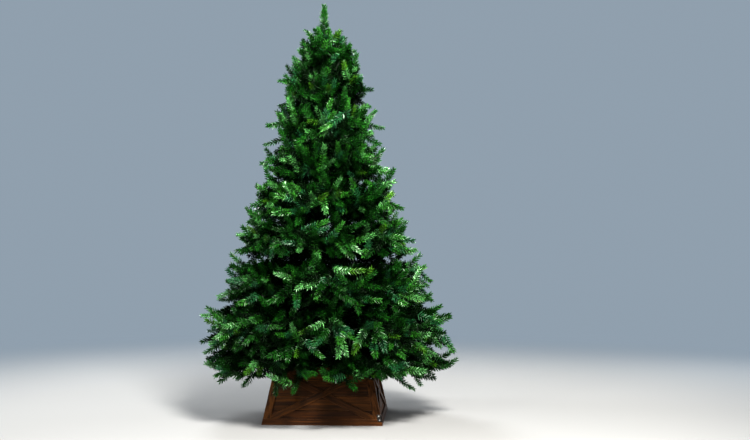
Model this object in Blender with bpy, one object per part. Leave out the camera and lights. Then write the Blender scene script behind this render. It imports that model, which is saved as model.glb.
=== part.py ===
"""An artificial Christmas tree on its folding steel stand, inside a hinged wooden collar.

Metres, +Z up. The origin is the centre of the stand socket's flat underside, on the floor.
The crown is cut into tiers of spaces round the pole. Each space holds one mass of foliage:
a stem hinged on the pole, a small core, and twigs that end in toothed sprays of needles.
"""

import math
import random

import bmesh
import bpy
from mathutils import Vector

FIT = 0.0003  # clearance between pieces that meet
SHARP_EDGE = math.radians(40)  # a sharper edge isn't shaded smooth
NEARLY_UPRIGHT = 0.1  # sine of the angle to +Z

# Crown: the furthest reach of the tips, as (height, radius)
TREE_HEIGHT = 2.10
CROWN_PROFILE = (
    (0.13, 0.50),
    (0.22, 0.63),
    (0.31, 0.69),
    (0.50, 0.65),
    (0.70, 0.53),
    (1.06, 0.41),
    (1.38, 0.32),
    (1.78, 0.20),
    (1.90, 0.12),
    (1.97, 0.05),
)
BOUGHS_PER_TIER = (6, 6, 5, 5, 5, 4, 4, 3, 3)  # from the foot of the crown up
TIER_FOOT = 0.475  # where the lowest space meets the pole
TIER_TOP = 1.84
TIER_CROWDING = 1.3  # over 1, the lower tiers stand closer together than the upper ones
FOOT_SLOPE = -0.55  # the lowest boughs hang, the highest ones rise
TOP_SLOPE = 1.05
TIER_TURN = math.radians(137.5)  # each tier is turned from the one below
SPACE_MARGIN = 0.0025
REACH_START = 0.3  # the radius that the search for a space's reach starts from
REACH_STEPS = 12

# Foliage
SPRAY_ROWS = ((0.18, 1.0), (0.84, 0.98))  # (share of the space's height, share of the crown's reach)
SPRAY_STAGGER = (0.30, 0.70)  # where the first tip of each row stands, in spacings
SPRAY_SPACING = 0.165  # between tips in a row
SPRAY_LENGTH = 0.150  # what stands out of a core
SPRAY_LONGEST = 0.45  # share of the crown's reach that a spray may take
SPRAY_ROOT = 0.035  # what is sunk in it
SPRAY_FIN = 0.050
SPRAY_SHRINKS = (1.0, 0.85, 0.7, 0.55)  # tried in turn until the fins stay in the space
SPRAY_BARE = 0.15  # share of a spray's length with no fins
SPRAY_DRIFT = (-0.06, 0.04)  # how far a tip strays from its row, in shares of the space's height
SPRAY_SHORTEST = 0.96
EDGE_ROOM = 0.97  # share of the space's width that the tips keep to
ROOT_FAN = 0.74  # how far the roots spread, against their tips
ROOT_RISE = 0.6
TWIG_RADIUS = 0.0042
STEM_RADIUS = 0.007
STEM_HOOK = 0.010  # straight out of the pole's ring
STEM_ROUTE = ((0.4, 0.85), (0.9, 0.6))  # (share of the core's reach, share of the stem's radius)
CORE_OUTLINE = ((0.90, 0.34), (0, 0.45), (-0.90, 0.34), (-0.90, -0.34), (0, -0.45), (0.90, -0.34))
CORE_RINGS = ((0.30, 0.85), (0.60, 1.0), (0.98, 0.84))  # (share of the core's reach, scale of the outline)
CORE_START = 0.05
CORE_BULGE = 0.035  # how far its outer end is rounded out
CORE_UNEVEN = (0.92, 1.04)
LEADER_FIN = 0.027
LEADER_ROWS = 5
LEADER_BARE = 0.012
LEADER_ROLL = 0.3
TOP_ROOM = 0.03  # how far the highest masses may rise above the pole
FIN_ROWS_SHARE = 0.74  # share of a spray's green length that its rows of fins take
FIN_SWEEP = 1.12  # how far a fin's point lies ahead of its root, in rows
FIN_TAPER = 0.78  # each row of fins against the one behind
FIN_LIMIT = 0.97

# Pole
POLE_SIDES = 8
POLE_SECTIONS = ((0.0035, 0.016), (0.805, 0.0135), (1.285, 0.0105))  # (foot height, radius)
POLE_TOP = 1.900
COUPLING_LENGTH = 0.035
COUPLING_WALL = 0.0025
RING_HEIGHT = 0.014
RING_WALL = 0.009

# Stand
SOCKET_RADIUS = 0.0215
SOCKET_HEIGHT = 0.200
SOCKET_GAP = 0.0005
SOCKET_FLOOR = 0.003
LEG_COUNT = 4
LEG_REACH = 0.315
LEG_THICKNESS = 0.018
LEG_TOP = 0.145
LEG_SHOULDER = 0.075  # where a leg bends down
LEG_FOOT = 0.045  # how much of it lies on the floor
LEG_BEND_DEPTH = 1.06  # keeps the bar's depth round its upper bend
SCREW_COUNT = 3
SCREW_DROP = 0.018  # below the socket's rim
SCREW_START = 0.0012  # outside the bore
SCREW_SHANK = 0.022
SCREW_SHOULDER = 0.0005
SCREW_HEAD = 0.004
SCREW_RADIUS = 0.003
SCREW_HEAD_RADIUS = 0.009

# Wooden collar
COLLAR_HEIGHT = 0.275
COLLAR_FOOT_WIDTH = 0.590
COLLAR_TOP_WIDTH = 0.475
COLLAR_TURN = math.radians(-3.0)
COLLAR_CENTRE = Vector((0.016, 0, 0))  # it stands round the stand, not quite in the middle
BATTEN_DEPTH = 0.009
BOARD_DEPTH = 0.011
STILE_WIDTH = 0.038
RAIL_WIDTH = 0.030
BRACE_WIDTH = 0.030
BRACE_LAP = 0.012  # how far the cross runs into the corners of the frame
BATTEN_LAP = 0.002  # how far a stile runs into a rail
BATTEN_SINK = 0.001  # how far the battens run into the board
STILE_STEP = 0.0006  # how far the stiles lie behind the rails
BRACE_STEPS = (0.0012, 0.0020)  # the two bars of the cross lie lower still
HINGE_HEIGHT = 0.034
HINGE_LEAF = 0.019
HINGE_PLATE = 0.0016
HINGE_CENTRES = (0.036, 0.236)
HINGE_KNUCKLE = 0.003
KNUCKLE_REST = {"outside": 0.72, "inside": 1.0}  # the knuckle's height off the face, in its radii
KNUCKLE_BITE = 0.0012  # how far a leaf runs into the knuckle

GREENS = ((0.016, 0.075, 0.014), (0.022, 0.095, 0.018), (0.012, 0.058, 0.016))
POLE_GREEN = (0.012, 0.035, 0.016)
WALNUT = (0.060, 0.026, 0.011)
BLACK_STEEL = (0.015, 0.015, 0.016)
NICKEL = (0.55, 0.52, 0.46)


def clear_scene():
    for item in list(bpy.data.objects):
        bpy.data.objects.remove(item, do_unlink=True)


def finish(name, colour, roughness, metallic=0.0):
    """A Principled material, made once for each name."""
    material = bpy.data.materials.get(name)
    if material is None:
        material = bpy.data.materials.new(name)
        material.use_nodes = True
        shader = material.node_tree.nodes["Principled BSDF"]
        shader.inputs["Base Color"].default_value = (*colour, 1.0)
        shader.inputs["Roughness"].default_value = roughness
        shader.inputs["Metallic"].default_value = metallic
        material.diffuse_color = (*colour, 1.0)
    return material


def add_mesh(name, vertices, faces, material=None):
    """An object of one closed shell, with its faces turned outwards."""
    shell = bmesh.new()
    points = [shell.verts.new(vertex) for vertex in vertices]
    for face in faces:
        shell.faces.new([points[i] for i in face])
    bmesh.ops.recalc_face_normals(shell, faces=shell.faces)
    mesh = bpy.data.meshes.new(name)
    shell.to_mesh(mesh)
    shell.free()
    piece = bpy.data.objects.new(name, mesh)
    bpy.context.scene.collection.objects.link(piece)
    if material is not None:
        mesh.materials.append(material)
    return piece


def join(body, others, solver="EXACT"):
    """Fuses the other objects to body by one Boolean union, and removes them."""
    tools = bpy.data.collections.new(body.name + "_tools")
    bpy.context.scene.collection.children.link(tools)
    for other in others:
        bpy.context.scene.collection.objects.unlink(other)
        tools.objects.link(other)
    boolean = body.modifiers.new("join", "BOOLEAN")
    boolean.operand_type = "COLLECTION"
    boolean.collection = tools
    boolean.operation = "UNION"
    boolean.solver = solver
    graph = bpy.context.evaluated_depsgraph_get()
    joined = bpy.data.meshes.new_from_object(body.evaluated_get(graph))
    body.modifiers.remove(boolean)
    joined.name = body.name
    body.data = joined
    for other in list(tools.objects):
        bpy.data.objects.remove(other, do_unlink=True)
    bpy.data.collections.remove(tools)
    return body


def lathe(name, profile, sides, material):
    """A closed solid turned about Z from (radius, height) points that start and end on the axis."""
    vertices = []
    faces = []
    rows = []
    for radius, height in profile:
        if radius == 0.0:
            rows.append([len(vertices)])
            vertices.append((0.0, 0.0, height))
            continue
        first = len(vertices)
        rows.append(list(range(first, first + sides)))
        for i in range(sides):
            angle = math.tau * i / sides
            vertices.append((radius * math.cos(angle), radius * math.sin(angle), height))
    for low, high in zip(rows, rows[1:]):
        for i in range(sides):
            j = (i + 1) % sides
            if len(low) == 1:
                faces.append((low[0], high[j], high[i]))
            elif len(high) == 1:
                faces.append((low[i], low[j], high[0]))
            else:
                faces.append((low[i], low[j], high[j], high[i]))
    piece = add_mesh(name, vertices, faces, material)
    piece.data.shade_smooth()
    piece.data.set_sharp_from_angle(angle=SHARP_EDGE)
    return piece


# ---------------------------------------------------------------- crown spaces


def crown_reach(height):
    """How far the tips stand from the pole's axis at a height."""
    if height <= CROWN_PROFILE[0][0]:
        return CROWN_PROFILE[0][1]
    for (z0, r0), (z1, r1) in zip(CROWN_PROFILE, CROWN_PROFILE[1:]):
        if height <= z1:
            return r0 + (r1 - r0) * (height - z0) / (z1 - z0)
    return CROWN_PROFILE[-1][1]


def tier_edge(share):
    """(height at the pole, slope) of the cone between two tiers, from 0 at the foot to 1 at the top."""
    height = TIER_FOOT + (TIER_TOP - TIER_FOOT) * share**TIER_CROWDING
    slope = FOOT_SLOPE + (TOP_SLOPE - FOOT_SLOPE) * share
    return height, slope


class Space:
    """The wedge of the crown that one mass keeps to: between two cones and two upright planes."""

    def __init__(self, tier, index):
        count = BOUGHS_PER_TIER[tier]
        self.tier = tier
        self.half = math.pi / count
        self.centre = (tier * TIER_TURN + index * math.tau / count) % math.tau
        self.low = tier_edge(tier / len(BOUGHS_PER_TIER))
        self.high = tier_edge((tier + 1) / len(BOUGHS_PER_TIER))

    def height(self, radius, share):
        """The height at this radius, share 0 on the space's lower cone and 1 on its upper one."""
        low = self.low[0] + self.low[1] * radius
        high = self.high[0] + self.high[1] * radius
        return low + share * (high - low)

    def reach(self, share):
        """The crown's reach where a line at this share of the space's height meets it."""
        radius = crown_reach(self.height(REACH_START, share))
        for _ in range(REACH_STEPS):
            radius = 0.5 * (radius + crown_reach(self.height(radius, share)))
        return radius

    def core_reach(self):
        """How far the dense core goes, so that sprays of full length stand out of it."""
        reach = self.reach(0.5)
        return reach - min(SPRAY_LENGTH, SPRAY_LONGEST * reach)

    def point(self, radius, turn, share):
        angle = self.centre + turn
        return Vector(
            (radius * math.cos(angle), radius * math.sin(angle), self.height(radius, share))
        )

    def holds(self, point, margin=SPACE_MARGIN):
        radius = math.hypot(point.x, point.y)
        if radius < POLE_SECTIONS[0][1] + RING_WALL:
            return False
        turn = math.atan2(point.y, point.x) - self.centre
        turn = abs((turn + math.pi) % math.tau - math.pi)
        if turn >= self.half or radius * math.sin(self.half - turn) < margin:
            return False
        if point.z < self.height(radius, 0.0) + margin:
            return False
        return point.z < min(self.height(radius, 1.0) - margin, POLE_TOP + TOP_ROOM)


# ---------------------------------------------------------------- foliage


def spray_frame(direction, roll):
    """Two unit vectors across a direction, turned by roll."""
    side = direction.cross(Vector((0, 0, 1)))
    side = side.normalized() if side.length > NEARLY_UPRIGHT else Vector((1, 0, 0))
    up = side.cross(direction).normalized()
    across = side * math.cos(roll) + up * math.sin(roll)
    return across, direction.cross(across).normalized()


def spray_mesh(root, tip, fin, roll, bare, rows=2):
    """A three-sided twig, bare at its root, with rows of fins swept towards its tip."""
    axis = tip - root
    length = axis.length
    direction = axis.normalized()
    across, other = spray_frame(direction, roll)
    step = FIN_ROWS_SHARE * (length - bare) / rows
    stations = [0.0] + [bare + step * i for i in range(rows + 1)]
    vertices = []
    for j, station in enumerate(stations):
        for i in range(3):
            angle = math.tau * i / 3 + j * math.pi / 3
            offset = across * math.cos(angle) + other * math.sin(angle)
            vertices.append(root + direction * station + offset * TWIG_RADIUS)
    faces = [(0, 2, 1)]
    for j in range(len(stations) - 1):
        for i in range(3):
            a0 = 3 * j + i
            a1 = 3 * j + (i + 1) % 3
            b0 = a0 + 3
            b1 = a1 + 3
            faces.append((a1, b1, b0))
            if j == 0:
                faces.append((a0, a1, b0))
                continue
            angle = math.tau * i / 3 + (j + 1) * math.pi / 3
            outward = across * math.cos(angle) + other * math.sin(angle)
            apex = len(vertices)
            along = min(stations[j] + FIN_SWEEP * step, FIN_LIMIT * length)
            vertices.append(root + direction * along + outward * fin * FIN_TAPER ** (j - 1))
            faces += [(a0, a1, apex), (a1, b0, apex), (b0, a0, apex)]
    end = len(vertices)
    vertices.append(tip)
    last = 3 * (len(stations) - 1)
    faces += [(last + i, last + (i + 1) % 3, end) for i in range(3)]
    return vertices, faces


def tube(name, points, radii, sides, material=None):
    """A closed tube of flat sides through the points. Its ends are square to their own runs."""
    vertices = []
    runs = [(b - a).normalized() for a, b in zip(points, points[1:])]
    for i, (point, radius) in enumerate(zip(points, radii)):
        before = runs[max(0, i - 1)]
        after = runs[min(i, len(runs) - 1)]
        across, other = spray_frame((before + after).normalized(), math.pi / sides)
        for j in range(sides):
            angle = math.tau * j / sides
            vertices.append(point + radius * (across * math.cos(angle) + other * math.sin(angle)))
    faces = [tuple(reversed(range(sides)))]
    for i in range(len(points) - 1):
        for j in range(sides):
            k = (j + 1) % sides
            a = sides * i
            b = a + sides
            faces.append((a + j, a + k, b + k, b + j))
    faces.append(tuple(range(sides * (len(points) - 1), sides * len(points))))
    return add_mesh(name, vertices, faces, material)


def section_radius(height):
    """The pole's radius at a height."""
    return [radius for foot, radius in POLE_SECTIONS if foot <= height][-1]


def ring_height(tier):
    """Where a tier's boughs hook on to the pole."""
    return Space(tier, 0).height(section_radius(TIER_FOOT), 0.5)


def ring_front(height, azimuth, half_width):
    """How far the pole's ring reaches along an azimuth, over the width of a stem's end."""
    radius = section_radius(height) + RING_WALL
    angles = [math.tau * i / POLE_SIDES - azimuth for i in range(POLE_SIDES)]
    corners = [(radius * math.cos(angle), radius * math.sin(angle)) for angle in angles]
    fronts = [x for x, y in corners if abs(y) <= half_width]
    for (x0, y0), (x1, y1) in zip(corners, corners[1:] + corners[:1]):
        for edge in (-half_width, half_width):
            if min(y0, y1) < edge < max(y0, y1):
                fronts.append(x0 + (x1 - x0) * (edge - y0) / (y1 - y0))
    return max(fronts)


def stem_of(space, name, material):
    """The stem that hooks on to the pole's ring and runs out inside the core."""
    height = ring_height(space.tier)
    front = ring_front(height, space.centre, STEM_RADIUS * math.sqrt(0.5)) + FIT
    along = Vector((math.cos(space.centre), math.sin(space.centre), 0))
    hook = along * front + Vector((0, 0, height))
    reach = space.core_reach()
    points = [hook, hook + along * STEM_HOOK]
    points += [space.point(share * reach, 0, 0.5) for share, _ in STEM_ROUTE]
    radii = [STEM_RADIUS, STEM_RADIUS] + [STEM_RADIUS * share for _, share in STEM_ROUTE]
    return tube(name, points, radii, 4, material)


def core_of(space, rng):
    """The small dense middle of a mass, inside its own space."""
    reach = space.core_reach()
    rings = [(max(CORE_START, share * reach), scale) for share, scale in CORE_RINGS]
    sides = len(CORE_OUTLINE)
    vertices = []
    for radius, scale in rings:
        for wide, tall in CORE_OUTLINE:
            turn = scale * wide * space.half * rng.uniform(*CORE_UNEVEN)
            vertices.append(space.point(radius, turn, 0.5 + scale * tall * rng.uniform(*CORE_UNEVEN)))
    faces = []
    for ring in range(len(rings) - 1):
        for i in range(sides):
            j = (i + 1) % sides
            a = sides * ring
            b = a + sides
            faces += [(a + i, b + i, b + j), (a + i, b + j, a + j)]
    for ring, bulge in ((0, 0.0), (len(rings) - 1, CORE_BULGE)):
        middle = len(vertices)
        vertices.append(space.point(rings[ring][0] + bulge, 0, 0.5))
        start = sides * ring
        faces += [(start + i, start + (i + 1) % sides, middle) for i in range(sides)]
    return add_mesh("core", vertices, faces)


def spray_seats(space, rng):
    """Where the sprays of a space stand: (root, tip) pairs in staggered rows over its outer face."""
    seats = []
    for row, (share, full) in enumerate(SPRAY_ROWS):
        count = max(2, round(2 * space.half * space.reach(share) / SPRAY_SPACING))
        for column in range(count):
            place = (column + SPRAY_STAGGER[row]) / count
            turn = space.half * (2 * place - 1) * EDGE_ROOM
            at = share + rng.uniform(*SPRAY_DRIFT)
            tip = space.point(space.reach(at) * full * rng.uniform(SPRAY_SHORTEST, 1.0), turn, at)
            middle = 0.5 + ROOT_RISE * (at - 0.5)
            root = space.point(space.core_reach() - SPRAY_ROOT, turn * ROOT_FAN, middle)
            seats.append((root, tip))
    return seats


def foliage_mass(tier, index):
    """One named mass: stem, core and sprays, joined into a single closed solid."""
    space = Space(tier, index)
    rng = random.Random(1000 * tier + index)
    shade = (tier + index) % len(GREENS)
    material = finish(f"needles_{shade}", GREENS[shade], 0.5)
    pieces = [core_of(space, rng)]
    for root, tip in spray_seats(space, rng):
        roll = rng.uniform(0, math.tau)
        bare = SPRAY_ROOT + SPRAY_BARE * ((tip - root).length - SPRAY_ROOT)
        for shrink in SPRAY_SHRINKS:
            vertices, faces = spray_mesh(root, tip, SPRAY_FIN * shrink, roll, bare)
            if all(space.holds(vertex) for vertex in vertices):
                pieces.append(add_mesh("spray", vertices, faces))
                break
    stem = stem_of(space, f"foliage_tier{tier + 1}_mass{index + 1}", material)
    return join(stem, pieces, "MANIFOLD")


def leader():
    """The upright spray that ends the tree, standing on the pole's tip."""
    root = Vector((0, 0, POLE_TOP + FIT))
    tip = Vector((0, 0, TREE_HEIGHT))
    vertices, faces = spray_mesh(root, tip, LEADER_FIN, LEADER_ROLL, LEADER_BARE, LEADER_ROWS)
    return add_mesh("foliage_leader", vertices, faces, finish("needles_0", GREENS[0], 0.5))


# ---------------------------------------------------------------- pole and stand


def pole():
    """The three-section pole, with a coupling at each joint and a ring for each tier of boughs."""
    bulges = [
        (foot, COUPLING_LENGTH, radius + COUPLING_WALL)
        for (foot, _), (_, radius) in zip(POLE_SECTIONS[1:], POLE_SECTIONS)
    ]
    for tier in range(len(BOUGHS_PER_TIER)):
        height = ring_height(tier)
        bulges.append((height, RING_HEIGHT, section_radius(height) + RING_WALL))
    foot_height, foot_radius = POLE_SECTIONS[0]
    profile = [(0.0, foot_height), (foot_radius, foot_height)]
    for height, length, radius in sorted(bulges):
        low = height - length / 2
        high = height + length / 2
        profile += [(section_radius(low), low), (radius, low), (radius, high), (section_radius(high), high)]
    tip_radius = POLE_SECTIONS[-1][1]
    profile += [(tip_radius, POLE_TOP), (0.0, POLE_TOP)]
    return lathe("pole", profile, POLE_SIDES, finish("pole_enamel", POLE_GREEN, 0.45, 0.2))


def stand_socket():
    """The tube that the pole drops into, closed at the floor, with clamping screws near its rim."""
    bore = POLE_SECTIONS[0][1] + SOCKET_GAP
    profile = [
        (0.0, 0.0),
        (SOCKET_RADIUS, 0.0),
        (SOCKET_RADIUS, SOCKET_HEIGHT),
        (bore, SOCKET_HEIGHT),
        (bore, SOCKET_FLOOR),
        (0.0, SOCKET_FLOOR),
    ]
    steel = finish("stand_steel", BLACK_STEEL, 0.4, 0.6)
    socket = lathe("stand_socket", profile, POLE_SIDES, steel)
    screws = []
    for i in range(SCREW_COUNT):
        angle = math.tau * (i + 0.5) / SCREW_COUNT
        along = Vector((math.cos(angle), math.sin(angle), 0))
        start = along * (bore + SCREW_START) + Vector((0, 0, SOCKET_HEIGHT - SCREW_DROP))
        head = SCREW_SHANK + SCREW_SHOULDER
        points = [start + along * run for run in (0, SCREW_SHANK, head, head + SCREW_HEAD)]
        radii = [SCREW_RADIUS, SCREW_RADIUS, SCREW_HEAD_RADIUS, SCREW_HEAD_RADIUS]
        screws.append(tube("screw", points, radii, 6))
    return join(socket, screws)


def stand_leg(index):
    """One steel leg, from the socket out and down to a foot flat on the floor."""
    angle = math.tau * (index + 0.5) / LEG_COUNT
    along = Vector((math.cos(angle), math.sin(angle), 0))
    up = Vector((0, 0, 1))
    half = LEG_THICKNESS / 2
    line = (  # (distance from the pole's axis, height, half the bar's depth there)
        (SOCKET_RADIUS + FIT, LEG_TOP, half),
        (LEG_SHOULDER, LEG_TOP, half * LEG_BEND_DEPTH),
        (LEG_REACH - LEG_FOOT, half, half),
        (LEG_REACH, half, half),
    )
    side = Vector((-along.y, along.x, 0)) * half
    vertices = []
    for radius, height, depth in line:
        for across, rise in ((-1, -1), (1, -1), (1, 1), (-1, 1)):
            vertices.append(along * radius + up * (height + rise * depth) + side * across)
    faces = [(3, 2, 1, 0), (12, 13, 14, 15)]
    for ring in range(3):
        a = 4 * ring
        for i in range(4):
            j = (i + 1) % 4
            faces.append((a + i, a + j, a + 4 + j, a + 4 + i))
    return add_mesh(f"stand_leg_{index + 1}", vertices, faces, finish("stand_steel", BLACK_STEEL, 0.4, 0.6))


# ---------------------------------------------------------------- wooden collar


def collar_half(height):
    """Half the collar's outer width at a height."""
    share = height / COLLAR_HEIGHT
    return 0.5 * (COLLAR_FOOT_WIDTH + share * (COLLAR_TOP_WIDTH - COLLAR_FOOT_WIDTH))


def collar_point(side, across, height, depth):
    """A point of a collar side: across its face, at a height, and a depth in from its outer face."""
    angle = COLLAR_TURN + side * math.pi / 2
    out = collar_half(height) - depth
    return COLLAR_CENTRE + Vector(
        (
            across * math.cos(angle) + out * math.sin(angle),
            across * math.sin(angle) - out * math.cos(angle),
            height,
        )
    )


def slab(side, corners, outer, inner, name="batten"):
    """A flat piece of a collar side from (across, height) corners, between two depths.

    A corner given as an edge name, "left" or "right", stands on the mitre at its own depth.
    """
    vertices = []
    for depth in (outer, inner):
        for across, height in corners:
            if across in ("left", "right"):
                edge = collar_half(height) - depth - FIT
                across = -edge if across == "left" else edge
            vertices.append(collar_point(side, across, height, depth))
    count = len(corners)
    faces = [tuple(range(count)), tuple(reversed(range(count, 2 * count)))]
    for i in range(count):
        j = (i + 1) % count
        faces.append((i, i + count, j + count, j))
    return add_mesh(name, vertices, faces)


def brace(side, sign):
    """One bar of the cross, corner to corner inside the frame."""
    low = RAIL_WIDTH
    high = COLLAR_HEIGHT - RAIL_WIDTH
    start = Vector((-(collar_half(low) - STILE_WIDTH), low))
    end = Vector((collar_half(high) - STILE_WIDTH, high))
    along = (end - start).normalized()
    across = Vector((-along.y, along.x)) * BRACE_WIDTH / 2
    start -= along * BRACE_LAP
    end += along * BRACE_LAP
    corners = [start - across, end - across, end + across, start + across]
    corners = [(sign * x, z) for x, z in corners]
    return slab(side, corners, BRACE_STEPS[sign < 0], BATTEN_DEPTH + BATTEN_SINK)


def collar_panel(side, name):
    """One side of the collar: a board with two rails, two stiles and a cross glued on its face."""
    sunk = BATTEN_DEPTH + BATTEN_SINK
    bands = ((0, RAIL_WIDTH), (COLLAR_HEIGHT - RAIL_WIDTH, COLLAR_HEIGHT))
    battens = []
    for low, high in bands:
        corners = [("left", low), ("right", low), ("right", high), ("left", high)]
        battens.append(slab(side, corners, 0, sunk))
    low = RAIL_WIDTH - BATTEN_LAP
    high = COLLAR_HEIGHT - low
    for sign, edge in ((-1, "left"), (1, "right")):
        inner_low = sign * (collar_half(low) - STILE_WIDTH)
        inner_high = sign * (collar_half(high) - STILE_WIDTH)
        corners = [(edge, low), (inner_low, low), (inner_high, high), (edge, high)]
        battens.append(slab(side, corners, STILE_STEP, sunk + STILE_STEP))
    battens += [brace(side, 1), brace(side, -1)]
    corners = [("left", 0), ("right", 0), ("right", COLLAR_HEIGHT), ("left", COLLAR_HEIGHT)]
    board = slab(side, corners, BATTEN_DEPTH, BATTEN_DEPTH + BOARD_DEPTH, name)
    board.data.materials.append(finish("collar_walnut", WALNUT, 0.55))
    return join(board, battens)


def hinge(side, height, name, inside):
    """A butt hinge folded round the corner between a side and the next, outside it or inside it."""
    low = height - HINGE_HEIGHT / 2
    high = height + HINGE_HEIGHT / 2
    out = -1 if inside else 1
    seat = BATTEN_DEPTH + BOARD_DEPTH if inside else 0.0  # the depth of the face it lies on
    near = seat - out * FIT
    proud = near - out * HINGE_PLATE
    rest = HINGE_KNUCKLE * KNUCKLE_REST["inside" if inside else "outside"]
    turn = near - out * (rest + FIT)  # the knuckle's depth
    leaves = []
    for face, sign in ((side, 1), (side + 1, -1)):
        corners = []
        for z, across in ((low, HINGE_LEAF), (high, HINGE_LEAF), (high, 0.0), (low, 0.0)):
            reach = collar_half(z) - (seat + across if across else turn + out * KNUCKLE_BITE)
            corners.append((sign * reach, z))
        leaves.append(slab(face, corners, min(near, proud), max(near, proud), name))
    ends = [collar_point(side, collar_half(z) - turn, z, turn) for z in (low, high)]
    leaves.append(tube("knuckle", ends, [HINGE_KNUCKLE] * 2, 6))
    body = leaves.pop(0)
    body.data.materials.append(finish("hinge_nickel", NICKEL, 0.3, 1.0))
    return join(body, leaves)


def main():
    clear_scene()
    pole()
    stand_socket()
    for index in range(LEG_COUNT):
        stand_leg(index)
    for side, name in enumerate(("collar_front", "collar_right", "collar_back", "collar_left")):
        collar_panel(side, name)
        for level, height in zip(("low", "high"), HINGE_CENTRES):
            hinge(side, height, f"hinge_{side + 1}_{level}", inside=side % 2 == 1)
    for tier, count in enumerate(BOUGHS_PER_TIER):
        for index in range(count):
            foliage_mass(tier, index)
    leader()


main()
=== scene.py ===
import math
import random

import bmesh
import bpy
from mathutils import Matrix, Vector


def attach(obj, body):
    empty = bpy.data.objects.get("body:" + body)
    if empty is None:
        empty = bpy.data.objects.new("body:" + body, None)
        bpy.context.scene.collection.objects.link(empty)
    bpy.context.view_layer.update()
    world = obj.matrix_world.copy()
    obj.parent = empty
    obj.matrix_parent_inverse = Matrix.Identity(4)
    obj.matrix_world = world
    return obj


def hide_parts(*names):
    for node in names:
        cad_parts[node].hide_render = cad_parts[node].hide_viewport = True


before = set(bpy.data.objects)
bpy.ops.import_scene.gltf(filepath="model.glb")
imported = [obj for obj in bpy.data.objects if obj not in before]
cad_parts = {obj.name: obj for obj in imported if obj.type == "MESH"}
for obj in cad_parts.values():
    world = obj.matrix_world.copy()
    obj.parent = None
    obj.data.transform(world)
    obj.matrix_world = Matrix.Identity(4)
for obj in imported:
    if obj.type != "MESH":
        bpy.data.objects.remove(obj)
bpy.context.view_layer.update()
print("frame loaded:", len(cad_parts), "nodes")


class Wire:
    # one output of a node; arithmetic on it adds Math nodes to the same tree
    def __init__(self, board, socket):
        self.board = board
        self.socket = socket

    def __add__(self, other):
        return self.board.maths("ADD", self, other)

    def __radd__(self, other):
        return self.board.maths("ADD", other, self)

    def __sub__(self, other):
        return self.board.maths("SUBTRACT", self, other)

    def __rsub__(self, other):
        return self.board.maths("SUBTRACT", other, self)

    def __mul__(self, other):
        return self.board.maths("MULTIPLY", self, other)

    def __rmul__(self, other):
        return self.board.maths("MULTIPLY", other, self)

    def __pow__(self, other):
        return self.board.maths("POWER", self, other)


class NodeBoard:
    # makes the nodes of one tree: settings first, then the values or links of the sockets
    def __init__(self, tree):
        self.tree = tree

    def node(self, kind, settings=None, inputs=None, out=None):
        made = self.tree.nodes.new(kind)
        for name, value in (settings or {}).items():
            setattr(made, name, value)
        for name, value in (inputs or {}).items():
            if isinstance(value, Wire):
                self.tree.links.new(value.socket, made.inputs[name])
            else:
                made.inputs[name].default_value = value
        return made if out is None else Wire(self, made.outputs[out])

    def maths(self, operation, a, b):
        return self.node("ShaderNodeMath", {"operation": operation}, {0: a, 1: b}, out=0)

    def vectorMaths(self, operation, a, b):
        return self.node("ShaderNodeVectorMath", {"operation": operation}, {0: a, 1: b}, out=0)

    def scaled(self, vector, factors):
        return self.vectorMaths("MULTIPLY", vector, factors)

    def between(self, value, low, high, toLow=0.0, toHigh=1.0):
        return self.node(
            "ShaderNodeMapRange",
            {"interpolation_type": "SMOOTHSTEP"},
            {"Value": value, 1: low, 2: high, 3: toLow, 4: toHigh},
            out=0,
        )

    def mixColour(self, factor, a, b, how="MIX"):
        a, b = (side if isinstance(side, Wire) else (*side, 1.0) for side in (a, b))
        settings = {"data_type": "RGBA", "blend_type": how}
        return self.node("ShaderNodeMix", settings, {0: factor, 6: a, 7: b}, out=2)

    def noise(self, vector, scale, detail, roughness=0.5, out="Fac"):
        inputs = {"Vector": vector, "Scale": scale, "Detail": detail, "Roughness": roughness}
        return self.node("ShaderNodeTexNoise", None, inputs, out=out)

    def objectPlace(self):
        return self.node("ShaderNodeTexCoord", out="Object")

    def attribute(self, name, out):
        return self.node("ShaderNodeAttribute", {"attribute_name": name}, out=out)

    def stored(self, name, kind="FLOAT"):
        return self.node("GeometryNodeInputNamedAttribute", {"data_type": kind}, {"Name": name}, out=0)

    def store(self, name, value, geometry, kind="FLOAT"):
        inputs = {"Geometry": geometry, "Name": name, "Value": value}
        settings = {"data_type": kind, "domain": "POINT"}
        return self.node("GeometryNodeStoreNamedAttribute", settings, inputs, out=0)

    def bump(self, shader, height, strength, distance):
        inputs = {"Strength": strength, "Distance": distance, "Height": height}
        self.link(self.node("ShaderNodeBump", None, inputs, out=0), shader, "Normal")

    def link(self, wire, node, name):
        self.tree.links.new(wire.socket, node.inputs[name])


def makeMaterial(name, values, pattern=None):
    # a Principled material: plain values on its own sockets, a pattern for what varies
    material = bpy.data.materials.new(name)
    material.use_nodes = True
    shader = material.node_tree.nodes["Principled BSDF"]
    for socket, value in values.items():
        shader.inputs[socket].default_value = (*value, 1.0) if isinstance(value, tuple) else value
    if pattern is not None:
        pattern(NodeBoard(material.node_tree), shader)
    return material


def makeTree(name, sockets):
    # an empty Geometry Nodes tree with named inputs: (label, type, value)
    tree = bpy.data.node_groups.new(name, "GeometryNodeTree")
    tree.interface.new_socket("Geometry", in_out="INPUT", socket_type="NodeSocketGeometry")
    tree.interface.new_socket("Geometry", in_out="OUTPUT", socket_type="NodeSocketGeometry")
    for label, kind, value in sockets:
        socket = tree.interface.new_socket(label, in_out="INPUT", socket_type=kind)
        if value is not None:
            socket.default_value = value
    board = NodeBoard(tree)
    entry = board.node("NodeGroupInput")
    given = {socket.name: Wire(board, socket) for socket in entry.outputs if socket.name}
    return tree, board, given


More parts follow.
